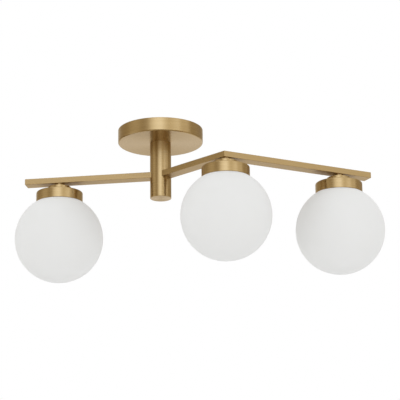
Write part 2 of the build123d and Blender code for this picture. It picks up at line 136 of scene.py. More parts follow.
def over_piece(tree, group, **values):
    """Outputs of a node group laid over a piece's own coordinates."""
    place = node(tree, "ShaderNodeTexCoord").outputs["Object"]
    return node(tree, "ShaderNodeGroup", {"Place": place, **values}, node_tree=group).outputs


def uneven(tree, patches, grain):
    """Patch and fine masks of the unevenness, so many patches and grains to the metre."""
    masks = over_piece(tree, unevenness, Patches=patches, Grain=grain)
    return masks["Patch"], masks["Fine"]


def grained_finish(name, slot, colours, rough, relief, patches, grain, **sockets):
    """Finish with patches of two colours, whose grain gives its roughness and relief."""
    finish, tree, shader = new_finish(name, slot, **sockets)
    patch, fine = uneven(tree, patches, grain)
    surfaced(tree, shader, (patch, *colours), (fine, *rough), (fine, relief))
    return finish


zinc = grained_finish("zinc_plating", "zinc_steel", (ZINC, ZINC_STRAW), rough=(0.3, 0.44),
                      relief=0.006, patches=90.0, grain=2600.0, metallic=1.0)


def softened(name, ease):
    """A solid's own form, in mm, with its flat faces made whole and its edges eased."""
    form = bmesh.new()
    form.from_mesh(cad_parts[name].data)
    bmesh.ops.scale(form, vec=(1 / MM,) * 3, verts=form.verts)
    bmesh.ops.remove_doubles(form, verts=form.verts, dist=SAME_POINT)
    bmesh.ops.dissolve_limit(form, angle_limit=FLAT_WITHIN, verts=form.verts, edges=form.edges)
    edges = [e for e in form.edges if e.is_manifold and e.calc_face_angle() > SHARP_FROM]
    bmesh.ops.bevel(form, geom=edges, offset=ease, segments=2, profile=0.5, affect="EDGES",
                    clamp_overlap=True)
    return form


def to_mesh(name, form):
    """Mesh from a form, which is used up."""
    mesh = bpy.data.meshes.new(name)
    form.to_mesh(mesh)
    form.free()
    return mesh


def placed(name, data, x=0.0, y=0.0):
    """New object in the scene, with its origin over a point."""
    made = bpy.data.objects.new(name, data)
    made.location = (x * MM, y * MM, 0)
    bpy.context.scene.collection.objects.link(made)
    return made


def settled(made, nodes, body):
    """Hides the solids a piece stands for and sets it riding on its body."""
    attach(made, body)
    if nodes:
        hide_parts(*nodes)
    return made


def piece(name, form, finish, nodes=(), body="root", place=(0.0, 0.0)):
    """Shown piece from a form in mm: smooth but for its sharp edges, riding on its body."""
    bmesh.ops.scale(form, vec=(MM,) * 3, verts=form.verts)
    mesh = to_mesh(name, form)
    material, slot = finish
    mesh.materials.append(material)
    mesh.polygons.foreach_set("use_smooth", [True] * len(mesh.polygons))
    mesh.set_sharp_from_angle(angle=SHARP_FROM)
    made = placed(name, mesh, *place)
    even = made.modifiers.new("even_faces", "WEIGHTED_NORMAL")
    even.keep_sharp = True
    graph = bpy.context.evaluated_depsgraph_get()
    made.data = bpy.data.meshes.new_from_object(made.evaluated_get(graph))
    made.modifiers.clear()
    return settled(made, nodes, body)


piece("bracket_strap", softened("ceiling_bracket", STRAP_EDGE), zinc, ["ceiling_bracket"])


# ---------------------------------------------------------------- Cable grommet
# Black rubber ring pressed into the bracket's middle hole, so that the cable doesn't chafe.
# Moulded, with a rounded flange and a bore that flares at both ends.
RUBBER = (0.012, 0.012, 0.013, 1)
RUBBER_DUSTY = (0.035, 0.034, 0.033, 1)
GROMMET_FLANGE = 8.5
GROMMET_NECK = 6.95
GROMMET_BORE = 4.5
GROMMET_TOP = -0.05
GROMMET_STEP = -1.55
GROMMET_LOW = -2.95
GROMMET_FLARES = (0.5, 0.6)
TINY = 1e-6


def rounded(corners, arc=4):
    """Closed outline through corners (x, y, radius), each turned into a short arc."""
    line = []
    for i, (x, y, radius) in enumerate(corners):
        if not radius:
            line.append((x, y))
            continue
        here = Vector((x, y))
        back = (Vector(corners[i - 1][:2]) - here).normalized()
        on = (Vector(corners[(i + 1) % len(corners)][:2]) - here).normalized()
        half = back.angle(on) / 2
        middle = here + (back + on).normalized() * (radius / math.sin(half))
        first, last = (here + way * (radius / math.tan(half)) - middle for way in (back, on))
        start = math.atan2(first.y, first.x)
        sweep = (math.atan2(last.y, last.x) - start + math.pi) % TURN - math.pi
        for step in range(arc + 1):
            angle = start + sweep * step / arc
            line.append((middle.x + radius * math.cos(angle), middle.y + radius * math.sin(angle)))
    return line


def belt(form, first, second):
    """Faces that join two rings of points. A ring on the axis is one point, given all round."""
    faces = []
    for step in range(len(first)):
        on = (step + 1) % len(first)
        corners = list(dict.fromkeys([first[step], first[on], second[on], second[step]]))
        if len(corners) > 2:
            faces.append(form.faces.new(corners))
    return faces


def turned(outline, steps, relief=None):
    """Form turned about the Z axis; relief(angle, radius, height) moves a point outwards.
    The outline is closed unless it starts and ends on the axis."""
    form = bmesh.new()
    rows = []
    for radius, height in outline:
        if radius < TINY:
            rows.append([form.verts.new((0, 0, height))] * steps)
            continue
        row = []
        for step in range(steps):
            angle = TURN * step / steps
            reach = radius + (relief(angle, radius, height) if relief else 0)
            row.append(form.verts.new((reach * math.cos(angle), reach * math.sin(angle), height)))
        rows.append(row)
    for low, high in zip(rows, rows[1:]):
        belt(form, low, high)
    if outline[0][0] > TINY:
        belt(form, rows[-1], rows[0])
    bmesh.ops.recalc_face_normals(form, faces=form.faces)
    return form


rubber = grained_finish(
    "grommet_rubber", "grommet_rubber", (RUBBER, RUBBER_DUSTY), rough=(0.62, 0.8), relief=0.02,
    patches=160.0, grain=4000.0, specular_ior_level=0.35)
piece("grommet_ring", turned(rounded([
    (GROMMET_BORE, GROMMET_TOP, GROMMET_FLARES[0]), (GROMMET_NECK, GROMMET_TOP, 0.25),
    (GROMMET_NECK, GROMMET_STEP, 0.05), (GROMMET_FLANGE, GROMMET_STEP, 0.3),
    (GROMMET_FLANGE, GROMMET_LOW, 0.6), (GROMMET_BORE, GROMMET_LOW, GROMMET_FLARES[1])]), 72),
    rubber, ["cable_grommet"])


# ---------------------------------------------------------------- Terminal block
# Three poles in one moulded block, screwed up to the bracket, where the supply meets the light's
# wires. Each pole has a bent brass liner in its entries and a slotted clamp screw at each end.
PLASTIC = (0.72, 0.72, 0.68, 1)
PLASTIC_SHADE = (0.66, 0.66, 0.61, 1)
PLATED_BRASS = (0.62, 0.44, 0.17, 1)
PLATED_BRASS_DARK = (0.5, 0.34, 0.12, 1)
LATHE_LINES = 0.12
POLES = (-15.0, -5.0, 5.0)
BLOCK_X = (12.0, 27.0)
BLOCK_EDGE = 0.25
ENTRY_Z = -8.0
LINER_HALF_WIDTH = 2.46
LINER_HALF_HEIGHT = 2.86
LINER_WALL = 0.28
LINER_LENGTH = 4.2
LINER_INSET = 0.25
CLAMP_X = (14.25, 24.75)
CLAMP_RADIUS = 1.6
CLAMP_ROOT = 0.875
CLAMP_PITCH = 0.6
CLAMP_BOTTOM = -13.0
CLAMP_TOP = -10.9
CLAMP_PLAIN_END = 0.75
CLAMP_SLOT_HALF = 0.31
CLAMP_SLOT_DEPTH = 0.63
SCREW_ROOT = 0.86
SCREW_PITCH = 0.5
SCREW_TOP = -0.3
OVERLAP = 0.3
CROSS_REACH = 0.62
BLOCK_SCREW_X = 19.5
BLOCK_SCREWS_Y = (-10.0, 0.0)
BLOCK_SCREW_SEAT = -11.6
BLOCK_SCREW_RADIUS = 1.5
BLOCK_SCREW_HEAD = {"radius": 2.6, "height": 1.6, "dome": 0.5, "slot": 0.7, "deep": 0.9}
SLIVER = 0.0005


def maths(tree, operation, *values):
    """Result of a math node."""
    return node(tree, "ShaderNodeMath", dict(enumerate(values)), operation=operation).outputs[0]


# Fine rings that a lathe tool or a buff leaves round the Z axis
rings, ring_in, ring_out = new_group(
    "turning_rings", [("Place", "Vector", None), ("Rings", "Float", 9000.0)], [("Lines", "Float")])
part = node(rings, "ShaderNodeSeparateXYZ", {"Vector": ring_in.outputs["Place"]}).outputs
flat = node(rings, "ShaderNodeCombineXYZ", {"X": part["X"], "Y": part["Y"]}).outputs["Vector"]
out = node(rings, "ShaderNodeVectorMath", {0: flat}, operation="LENGTH").outputs["Value"]
way = node(rings, "ShaderNodeVectorMath", {0: flat}, operation="NORMALIZE").outputs["Vector"]
side = node(rings, "ShaderNodeSeparateXYZ", {"Vector": way}).outputs
spot = node(rings, "ShaderNodeCombineXYZ", {
    "X": maths(rings, "MULTIPLY", out, ring_in.outputs["Rings"]),
    "Y": maths(rings, "MULTIPLY", part["Z"], ring_in.outputs["Rings"]), "Z": side["X"]})
noise = node(rings, "ShaderNodeTexNoise", {
    "Vector": spot.outputs["Vector"], "W": side["Y"], "Scale": 1.0, "Detail": 2.0},
    noise_dimensions="4D")
rings.links.new(ranged(rings, noise.outputs["Fac"], source=NOISE_SPAN), ring_out.inputs["Lines"])


def ringed(tree, spacing):
    """Mask of the turning rings, with that spacing."""
    return over_piece(tree, rings, Rings=1 / (spacing * MM))["Lines"]


plastic = grained_finish(
    "block_plastic", "terminal_plastic", (PLASTIC, PLASTIC_SHADE), rough=(0.34, 0.48),
    relief=0.012, patches=45.0, grain=3000.0, ior=1.5)
turned_brass, turned_tree, turned_shader = new_finish("turned_brass", "screw_brass", metallic=1.0)
patch, fine = uneven(turned_tree, 120.0, 2500.0)
lines = ringed(turned_tree, LATHE_LINES)
surfaced(turned_tree, turned_shader, (patch, PLATED_BRASS, PLATED_BRASS_DARK), (lines, 0.2, 0.36),
         (lines, 0.006))


def join(*forms):
    """One form from several."""
    whole = forms[0]
    for form in forms[1:]:
        mesh = to_mesh("part", form)
        whole.from_mesh(mesh)
        bpy.data.meshes.remove(mesh)
    return whole


def moved(form, x=0.0, y=0.0, z=0.0, turn=None):
    """The same form, turned about the origin and then moved."""
    if turn:
        form.transform(turn)
    bmesh.ops.translate(form, vec=(x, y, z), verts=form.verts)
    return form


def cuboid(x0, x1, y0, y1, z0, z1):
    """Block between two corners."""
    form = bmesh.new()
    size = Matrix.Diagonal((x1 - x0, y1 - y0, z1 - z0, 1))
    middle = Matrix.Translation(((x0 + x1) / 2, (y0 + y1) / 2, (z0 + z1) / 2))
    bmesh.ops.create_cube(form, size=1, matrix=middle @ size)
    return form


def cut(form, *tools):
    """The form with the tools' space taken out."""
    things = [placed("work", to_mesh("work", made)) for made in (form, join(*tools))]
    less = things[0].modifiers.new("cut", "BOOLEAN")
    less.object = things[1]
    less.solver = "EXACT"
    graph = bpy.context.evaluated_depsgraph_get()
    result = bmesh.new()
    result.from_mesh(things[0].evaluated_get(graph).to_mesh())
    bmesh.ops.dissolve_degenerate(result, edges=result.edges, dist=SLIVER)
    for thing in things:
        mesh = thing.data
        bpy.data.objects.remove(thing)
        bpy.data.meshes.remove(mesh)
    return result


def entry_liner(x, y):
    """Thin rectangular liner along X inside an entry."""
    def block(thinner, longer):
        width, height = LINER_HALF_WIDTH - thinner, LINER_HALF_HEIGHT - thinner
        return cuboid(x - longer, x + LINER_LENGTH + longer, y - width, y + width,
                      ENTRY_Z - height, ENTRY_Z + height)
    return cut(block(0, 0), block(LINER_WALL, 1))


def bolt_head(radius, height, dome, slot, deep, cross=False):
    """Domed head hanging below z = 0, with a slot or a cross in it."""
    rim = dome - height
    outline = [(0, 0), (radius, 0), (radius, rim)]
    outline += [(radius * math.cos(angle), rim - dome * math.sin(angle))
                for angle in (TURN / 4 * step / 6 for step in range(1, 6))] + [(0, -height)]
    head = turned(outline, 48)
    reach, half = (CROSS_REACH if cross else 2) * radius, slot / 2
    for x, y in [(reach, half), (half, reach)] if cross else [(reach, half)]:
        head = cut(head, cuboid(-x, x, -y, y, -height - 1, deep - height))
    return head


def thread(root, crest, pitch, low, high):
    """Relief of a screw thread: how far a wall drops from its crest, with tapered ends."""
    def drop(angle, radius, height):
        if abs(radius - crest) > TINY or not low <= height <= high:
            return 0.0
        turn = (height / pitch - angle / TURN) % 1
        depth = (crest - root) * min(1.0, max(0.0, 2 * abs(2 * turn - 1) - 0.5))
        end = min(height - low, high - height)
        return -max(depth, min(crest - root, max(0.0, 0.4 * pitch - end)))
    return drop


def climb(radius, low, high, step):
    """Points up or down a wall, close enough for its thread."""
    count = max(1, round(abs(high - low) / step))
    return [(radius, low + (high - low) * i / count) for i in range(count + 1)]


def threaded_rod(radius, pitch, first, last, steps=32, root=SCREW_ROOT, plain=0.0):
    """Solid rod with a thread between two heights, plain at its low end. root is the share of
    the radius left at the thread's bottom."""
    low, high = sorted((first, last))
    outline = [(0, first)] + climb(radius, first, last, pitch / 6) + [(0, last)]
    return turned(outline, steps, thread(root * radius, radius, pitch, low + plain, high))


piece("terminal_body", softened("terminal_block", BLOCK_EDGE), plastic, ["terminal_block"])
liners = [entry_liner(x, y) for y in POLES
          for x in (BLOCK_X[0] + LINER_INSET, BLOCK_X[1] - LINER_INSET - LINER_LENGTH)]
piece("terminal_liners", join(*liners), turned_brass)
for row, y in enumerate(POLES):
    for end, x in enumerate(CLAMP_X):
        screw = threaded_rod(CLAMP_RADIUS, CLAMP_PITCH, CLAMP_TOP, CLAMP_BOTTOM, 36, CLAMP_ROOT,
                             CLAMP_PLAIN_END)
        slot = cuboid(-2 * CLAMP_RADIUS, 2 * CLAMP_RADIUS, -CLAMP_SLOT_HALF, CLAMP_SLOT_HALF,
                      CLAMP_BOTTOM - 1, CLAMP_BOTTOM + CLAMP_SLOT_DEPTH)
        piece(f"clamp_screw_{row}_{end}", cut(screw, slot), turned_brass,
              ["terminal_clamp_screws"], place=(x, y))
for row, y in enumerate(BLOCK_SCREWS_Y):
    head = moved(bolt_head(**BLOCK_SCREW_HEAD, cross=True), z=BLOCK_SCREW_SEAT)
    shank = threaded_rod(BLOCK_SCREW_RADIUS, SCREW_PITCH, BLOCK_SCREW_SEAT - OVERLAP,
                         SCREW_TOP)
    piece(f"block_screw_{row}", join(head, shank), zinc, ["terminal_block_screws"],
          place=(BLOCK_SCREW_X, y))


# ---------------------------------------------------------------- Earth screw, tag and lead
# Tinned copper ring tag crimped on a green and yellow lead, under a slotted brass screw in the
# bracket. The tag is stamped and its barrel rolled; the lead is copper in striped PVC.
TIN = (0.5, 0.49, 0.47, 1)
TIN_DULL = (0.4, 0.39, 0.37, 1)
EARTH_GREEN = (0.02, 0.16, 0.03, 1)
EARTH_YELLOW = (0.72, 0.52, 0.02, 1)
STRIPE_FROM = 0.6
TAG_EDGE = 0.12
EARTH_X = -20.0
EARTH_SEAT = -2.3
EARTH_RADIUS = 2.0
EARTH_PITCH = 0.7
EARTH_HEAD = {"radius": 3.6, "height": 2.4, "dome": 0.7, "slot": 0.9, "deep": 1.1}

tin, tin_tree, tin_shader = new_finish("tinned_copper", "tinned_copper", metallic=1.0)
patch, fine = uneven(tin_tree, 300.0, 2500.0)
surfaced(tin_tree, tin_shader, (patch, TIN, TIN_DULL), (patch, 0.25, 0.42), (patch, 0.02))
piece("tag_stamping", softened("earth_tag", TAG_EDGE), tin, ["earth_tag"])

head = moved(bolt_head(**EARTH_HEAD), z=EARTH_SEAT)
shank = threaded_rod(EARTH_RADIUS, EARTH_PITCH, EARTH_SEAT - OVERLAP, SCREW_TOP)
piece("earth_bolt", join(head, shank), turned_brass, ["earth_screw"], place=(EARTH_X, 0))

earth_pvc, pvc_tree, pvc_shader = new_finish("earth_pvc", ior=1.5)
patch, fine = uneven(pvc_tree, 200.0, 3000.0)
facing = node(pvc_tree, "ShaderNodeTexCoord").outputs["Normal"]
upward = node(pvc_tree, "ShaderNodeSeparateXYZ", {"Vector": facing}).outputs["Z"]
band = maths(pvc_tree, "GREATER_THAN", maths(pvc_tree, "ABSOLUTE", upward), STRIPE_FROM)
surfaced(pvc_tree, pvc_shader, (band, EARTH_GREEN, EARTH_YELLOW), (fine, 0.3, 0.45), (fine, 0.01))


def dressed(name, finish):
    """A solid whose form is right keeps it and takes its finish."""
    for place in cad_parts[name].material_slots:
        place.material = finish[0]


dressed("earth_lead", earth_pvc)


# ---------------------------------------------------------------- Canopy
# Shallow cup of brass, spun over a form, then brushed round and round while it turns, and
# lacquered. It hides the bracket and is held to it by a grub screw at each side, in a nut welded
# to its wall.
BRASS = (0.49, 0.335, 0.142, 1)
BRASS_DEEP = (0.43, 0.288, 0.116, 1)
BRUSH_LINES = 0.11
BRUSH_BANDS = 0.8
BRUSH_DEPTH = 0.0015
CANOPY_RADIUS = 58.0
CANOPY_INSIDE = 56.8
CANOPY_LOW = -18.5
CANOPY_FLOOR = -17.3
CANOPY_HOLE = 5.3
CANOPY_EDGE = 1.8
GRUB_Z = -9.25
GRUB_HOLE = 2.05
GRUB_HOLE_REACH = (55.0, 60.0)
GRUB_RADIUS = 2.0
GRUB_PITCH = 0.7
GRUB_ENDS = (50.0, 57.7)
KEY_RADIUS = 1.13
KEY_DEPTH = 2.0
NUT_REACH = (52.8, 56.75)
NUT_RADIUS = 4.0
NUT_CHAMFER = 0.25
ALONG_X = Matrix.Rotation(TURN / 4, 4, "Y")


def brass_finish(name, stretch):
    """Brushed and lacquered brass: its finish, tree and shader."""
    return new_finish(name, "satin_brass", metallic=1.0, anisotropic=stretch,
                      anisotropic_rotation=0.25, coat_weight=0.25, coat_roughness=0.12,
                      coat_ior=1.5)


spun_brass, spun_tree, spun_shader = brass_finish("spun_brass", 0.85)
lines = ringed(spun_tree, BRUSH_LINES)
surfaced(spun_tree, spun_shader, (ringed(spun_tree, BRUSH_BANDS), BRASS_DEEP, BRASS),
         (lines, 0.24, 0.34), (lines, BRUSH_DEPTH))
round_way = node(spun_tree, "ShaderNodeTangent", direction_type="RADIAL", axis="Z")
spun_tree.links.new(round_way.outputs["Tangent"], spun_shader.inputs["Tangent"])


def plug(radius, low, high, steps=32):
    """Plain round plug about the Z axis."""
    return turned([(0, low), (radius, low), (radius, high), (0, high)], steps)


def laid(form, z=0.0):
    """The form with its Z axis laid along X, at a height."""
    return moved(form, z=z, turn=ALONG_X)


def on_side(side, reach):
    """Two distances from the middle, on the side -1 or 1, in rising order."""
    return sorted(side * distance for distance in reach)


canopy_form = turned(rounded([
    (CANOPY_HOLE, CANOPY_FLOOR, 0.15), (CANOPY_HOLE, CANOPY_LOW, 0.15),
    (CANOPY_RADIUS, CANOPY_LOW, CANOPY_EDGE), (CANOPY_RADIUS, 0.0, 0.3),
    (CANOPY_INSIDE, 0.0, 0.3), (CANOPY_INSIDE, CANOPY_FLOOR, 0.6)], 6), 192)
grub_holes = [laid(plug(GRUB_HOLE, *on_side(side, GRUB_HOLE_REACH)), GRUB_Z) for side in (-1, 1)]
piece("canopy_cup", cut(canopy_form, *grub_holes), spun_brass, ["canopy"])

weld_nuts = []
grubs = []
for side in (-1, 1):
    x0, x1 = on_side(side, NUT_REACH)
    nut = turned([(0, x0), (NUT_RADIUS - NUT_CHAMFER, x0), (NUT_RADIUS, x0 + NUT_CHAMFER),
                  (NUT_RADIUS, x1 - NUT_CHAMFER), (NUT_RADIUS - NUT_CHAMFER, x1), (0, x1)], 48)
    weld_nuts.append(cut(laid(nut, GRUB_Z), laid(plug(GRUB_HOLE, x0 - 1, x1 + 1), GRUB_Z)))
    grub = threaded_rod(GRUB_RADIUS, GRUB_PITCH, *on_side(side, GRUB_ENDS), 36)
    outer = side * GRUB_ENDS[1]
    key = plug(KEY_RADIUS, outer - side * KEY_DEPTH, outer + side, 6)
    grubs.append(cut(laid(grub, GRUB_Z), laid(key, GRUB_Z)))
piece("weld_nut_pair", join(*weld_nuts), zinc, ["canopy_weld_nuts"])
piece("grub_screw_pair", join(*grubs), turned_brass, ["canopy_grub_screws"])


# ---------------------------------------------------------------- Stem
# Straight brass tube with a threaded bush in its top and a brazed end disc, with a window sawn for
# each arm. A hollow threaded nipple with a washer and a hexagon nut clamps it to the canopy.
STEM_RADIUS = 14.4
STEM_INSIDE = 12.8
STEM_TOP = -18.5
STEM_END = -97.0
STEM_CAP_SEAM = -95.5
STEM_SPIGOT = 4.0
STEM_CAP_MIDDLE = 8.0
STEM_BUSH_LOW = -28.5
ARM_HEADINGS = (180.0, -36.0)
WINDOW_HALF = 8.75
WINDOW_Z = (-69.05, -60.95)
SEAT_GAP = 0.05
STEM_FIT = STEM_INSIDE - SEAT_GAP
NIPPLE_RADIUS = 5.0
NIPPLE_ROOT = 4.45
NIPPLE_BORE = 3.6
NIPPLE_PITCH = 1.0
NIPPLE_PROUD = 0.4
NIPPLE_HOLE = NIPPLE_RADIUS + SEAT_GAP
NUT_HALF_FLATS = 7.5
NUT_FACE = 0.96 * NUT_HALF_FLATS
NUT_SINK = 0.45
NUT_HEIGHT = 2.6
NUT_STEPS = 72
WASHER_RADIUS = 8.5
WASHER_THICK = 0.8


def about_z(heading):
    """Turn about the Z axis."""
    return Matrix.Rotation(heading, 4, "Z")


def hollow_nipple(low, high):
    """Threaded and plated tube between two heights."""
    outline = climb(NIPPLE_RADIUS, low, high, NIPPLE_PITCH / 6)
    outline += [(NIPPLE_BORE, high), (NIPPLE_BORE, low)]
    return turned(outline, 40, thread(NIPPLE_ROOT, NIPPLE_RADIUS, NIPPLE_PITCH, low, high))


def hexagon_nut(low, high):
    """Hexagon nut with its corners chamfered and its bore countersunk."""
    form = bmesh.new()
    rows = []
    parts = ("bore", "sink", "face", "side")
    for part, end, way in [(p, low, 1) for p in parts] + [(p, high, -1) for p in parts[::-1]]:
        row = []
        for step in range(NUT_STEPS):
            angle = TURN * step / NUT_STEPS
            corner = NUT_HALF_FLATS / math.cos((angle + TURN / 12) % (TURN / 6) - TURN / 12)
            radius, height = {
                "bore": (NIPPLE_HOLE, end + way * NUT_SINK), "sink": (NIPPLE_HOLE + NUT_SINK, end),
                "face": (NUT_FACE, end),
                "side": (corner, end + way * (corner - NUT_FACE) / 2)}[part]
            row.append(form.verts.new((radius * math.cos(angle), radius * math.sin(angle), height)))
        rows.append(row)
    for first, second in zip(rows, rows[1:] + rows[:1]):
        belt(form, first, second)
    bmesh.ops.recalc_face_normals(form, faces=form.faces)
    return form


def washer(outer, inner, low, high, ease=0.15):
    """Flat ring with eased edges."""
    return turned(rounded([(inner, low, ease), (outer, low, ease), (outer, high, ease),
                           (inner, high, ease)], 3), 96)


nut_low = CANOPY_FLOOR + WASHER_THICK
nut_high = nut_low + NUT_HEIGHT
piece("stem_hollow_nipple", hollow_nipple(STEM_BUSH_LOW, nut_high + NIPPLE_PROUD), zinc,
      ["stem_nipple"])
piece("stem_flat_washer", washer(WASHER_RADIUS, NIPPLE_HOLE, CANOPY_FLOOR, nut_low), zinc,
      ["stem_washer"])
piece("stem_hexagon_nut", hexagon_nut(nut_low, nut_high), zinc, ["stem_nut"])
piece("stem_threaded_bush", washer(STEM_FIT, NIPPLE_HOLE, STEM_BUSH_LOW, STEM_TOP, 0.3),
      turned_brass, ["stem_bush"])
stem_form = turned(rounded([
    (STEM_INSIDE, STEM_CAP_SEAM, 0), (STEM_RADIUS, STEM_CAP_SEAM, 0.05),
    (STEM_RADIUS, STEM_TOP, 0.15), (STEM_INSIDE, STEM_TOP, 0.15)]), 128)
for heading in ARM_HEADINGS:
    window = cuboid(0, 2 * STEM_RADIUS, -WINDOW_HALF, WINDOW_HALF, *WINDOW_Z)
    stem_form = cut(stem_form, moved(window, turn=about_z(math.radians(heading))))
piece("stem_brass_tube", stem_form, spun_brass, ["stem_tube"])
piece("stem_end_disc", turned([(0, STEM_CAP_SEAM + STEM_SPIGOT)] + rounded([
    (STEM_FIT, STEM_CAP_SEAM + STEM_SPIGOT, 0.3), (STEM_FIT, STEM_CAP_SEAM, 0),
    (STEM_RADIUS, STEM_CAP_SEAM, 0.05), (STEM_RADIUS, STEM_END, 0.4),
    (STEM_CAP_MIDDLE, STEM_END, 0)], 5) + [(0, STEM_END)], 128),
    spun_brass, ["stem_end_cap"])


# ---------------------------------------------------------------- Arms
# Flat rectangular brass tube, brushed lengthwise and lacquered. The inner and outer arms are
# mitred and brazed into one corner, and a plate closes each free end. Their roots are brazed into
# the stem.
ARM_HALF = 8.7
ARM_TOP = -61.0
ARM_LOW = -69.0
ARM_WALL = 1.2
ARM_FLOOR = ARM_LOW + ARM_WALL
ARM_EDGE = 0.45
ARM_INNER_EDGE = 0.2
ARM_START = 10.8
ARM_SLANT = math.radians(36.0)
LEFT_LAMP = 141.0
CORNER = 123.0
RIGHT_LAMP = 173.5
ARM_OVERHANG = 47.0
PLATE = 1.2
PLATE_EDGE = 0.3
SPIGOT = 4.0
BRUSH_LINE_LENGTH = 22.0
BRUSH_BAND_LENGTH = 60.0
GRAIN_APART = 80.0
corner_place = (CORNER * math.cos(ARM_SLANT), -CORNER * math.sin(ARM_SLANT))
right_place = (corner_place[0] + RIGHT_LAMP * math.cos(ARM_SLANT),
               corner_place[1] + RIGHT_LAMP * math.sin(ARM_SLANT))
lamps = {"left": (-LEFT_LAMP, 0.0), "middle": corner_place, "right": right_place}

drawn_brass, drawn_tree, drawn_shader = brass_finish("drawn_brass", 0.2)
along = node(drawn_tree, "ShaderNodeUVMap", uv_map="grain").outputs["UV"]


def long_lines(spacing, length):
    """Mask of lines along the grain of the arms."""
    drawn_out = node(drawn_tree, "ShaderNodeMapping", {
        "Vector": along, "Scale": (1 / (length * MM), 1 / (spacing * MM), 1.0)})
    noise = node(drawn_tree, "ShaderNodeTexNoise", {
        "Vector": drawn_out.outputs["Vector"], "Scale": 1.0, "Detail": 2.0})
    return ranged(drawn_tree, noise.outputs["Fac"], source=NOISE_SPAN)


lines = long_lines(BRUSH_LINES, BRUSH_LINE_LENGTH)
bands = long_lines(BRUSH_BANDS, BRUSH_BAND_LENGTH)
surfaced(drawn_tree, drawn_shader, (bands, BRASS_DEEP, BRASS), (lines, 0.44, 0.54),
         (lines, BRUSH_DEPTH))
long_way = node(drawn_tree, "ShaderNodeTangent", direction_type="UV_MAP", uv_map="grain")
drawn_tree.links.new(long_way.outputs["Tangent"], drawn_shader.inputs["Tangent"])


def section(inset, edge):
    """Rounded rectangle across an arm, as (across, height), so far inside its outline."""
    half, low, high = ARM_HALF - inset, ARM_LOW + inset, ARM_TOP - inset
    return rounded([(-half, low, edge), (half, low, edge), (half, high, edge), (-half, high, edge)])


def extruded(loops, start, end):
    """Form along X from loops of (across, height), the outer one first. start and end are
    (x, lean): x grows by lean for each mm across. The grain map runs along the form, in metres."""
    form = bmesh.new()
    grain = form.loops.layers.uv.new("grain")
    rims = []
    for number, loop in enumerate(loops):
        rims.append([[form.verts.new((x + lean * across, across, height))
                      for across, height in loop] for x, lean in (start, end)])
        reach = [GRAIN_APART * number]
        for here, after in zip(loop, loop[1:] + loop[:1]):
            reach.append(reach[-1] + math.dist(here, after))
        for i, face in enumerate(belt(form, *rims[-1])):
            for corner, far in zip(face.loops, (reach[i], reach[i + 1], reach[i + 1], reach[i])):
                corner[grain].uv = (corner.vert.co.x * MM, far * MM)
    for rim in zip(*rims):
        for face in belt(form, *rim) if len(rim) == 2 else [form.faces.new(rim[0])]:
            for corner in face.loops:
                corner[grain].uv = (corner.vert.co.y * MM, corner.vert.co.z * MM)
    bmesh.ops.recalc_face_normals(form, faces=form.faces)
    return form


def arm(start, end, place, heading, holes):
    """Tube of an arm in its place, with a hole in its underside at each of its lamps."""
    loops = [section(0, ARM_EDGE), section(ARM_WALL, ARM_INNER_EDGE)]
    form = moved(extruded(loops, start, end), *place, turn=about_z(heading))
    for x, y in holes:
        form = cut(form, moved(plug(NIPPLE_HOLE, ARM_LOW - 1, ARM_FLOOR + 1, 48), x, y))
    return form


def end_plate(reach, place, heading):
    """Plate that closes an arm, with its spigot inside the tube."""
    seam = reach - PLATE
    plate = extruded([section(0, ARM_EDGE)], (seam, 0), (reach, 0))
    face = [e for e in plate.edges if all(abs(v.co.x - reach) < TINY for v in e.verts)]
    bmesh.ops.bevel(plate, geom=face, offset=PLATE_EDGE, segments=3, profile=0.5, affect="EDGES")
    spigot = extruded([section(ARM_WALL + SEAT_GAP, ARM_INNER_EDGE)],
                      (seam - SPIGOT, 0), (seam + OVERLAP, 0))
    return moved(join(plate, spigot), *place, turn=about_z(heading))


left_end = LEFT_LAMP + ARM_OVERHANG
right_end = RIGHT_LAMP + ARM_OVERHANG
slope = math.tan(ARM_SLANT)
in_stem = (ARM_START, 0)
for name, form, cad in (
        ("left_arm_tube", arm(in_stem, (left_end - PLATE, 0), (0, 0), math.pi, [lamps["left"]]),
         "arm_left"),
        ("inner_arm_tube", arm(in_stem, (CORNER, -slope), (0, 0), -ARM_SLANT, [lamps["middle"]]),
         "arm_inner"),
        ("outer_arm_tube", arm((0, slope), (right_end - PLATE, 0), corner_place, ARM_SLANT,
                               [lamps["middle"], lamps["right"]]), "arm_outer"),
        ("left_end_plate", end_plate(left_end, (0, 0), math.pi), "arm_end_plug_left"),
        ("right_end_plate", end_plate(right_end, corner_place, ARM_SLANT), "arm_end_plug_right")):
    piece(name, form, drawn_brass, [cad])


def at_lamps(name, form, finish, nodes, body="root"):
    """The same piece at each lamp. The word LAMP in a name is the lamp's own."""
    first = None
    for lamp, place in lamps.items():
        own, rides, *stands_for = [text.replace("LAMP", lamp) for text in (name, body, *nodes)]
        if first:
            settled(placed(own, first.data, *place), stands_for, rides)
        else:
            first = piece(own, form, finish, stands_for, rides, place)


# ---------------------------------------------------------------- Lamp nipples, bushes and spacers
# At each lamp a brass bush is brazed on the arm's floor. A hollow threaded nipple screws up into
# it, through a short turned brass spacer that shows as the neck below the arm.
BOSS_TOP = -73.3
CUP_TOP = -81.0
LAMP_NIPPLE_LOW = -87.0
ARM_BUSH_RADIUS = 6.5
ARM_BUSH_TOP = ARM_FLOOR + 3.0
SPACER_RADIUS = 6.8
at_lamps("arm_bush_LAMP", washer(ARM_BUSH_RADIUS, NIPPLE_HOLE, ARM_FLOOR, ARM_BUSH_TOP, 0.2),
         turned_brass, ["arm_bushes"])
at_lamps("lamp_nipple_LAMP", hollow_nipple(LAMP_NIPPLE_LOW, ARM_BUSH_TOP), zinc, ["lamp_nipples"])
at_lamps("spacer_LAMP", washer(SPACER_RADIUS, NIPPLE_HOLE, BOSS_TOP, ARM_LOW, 0.25), spun_brass,
         ["arm_spacers"])


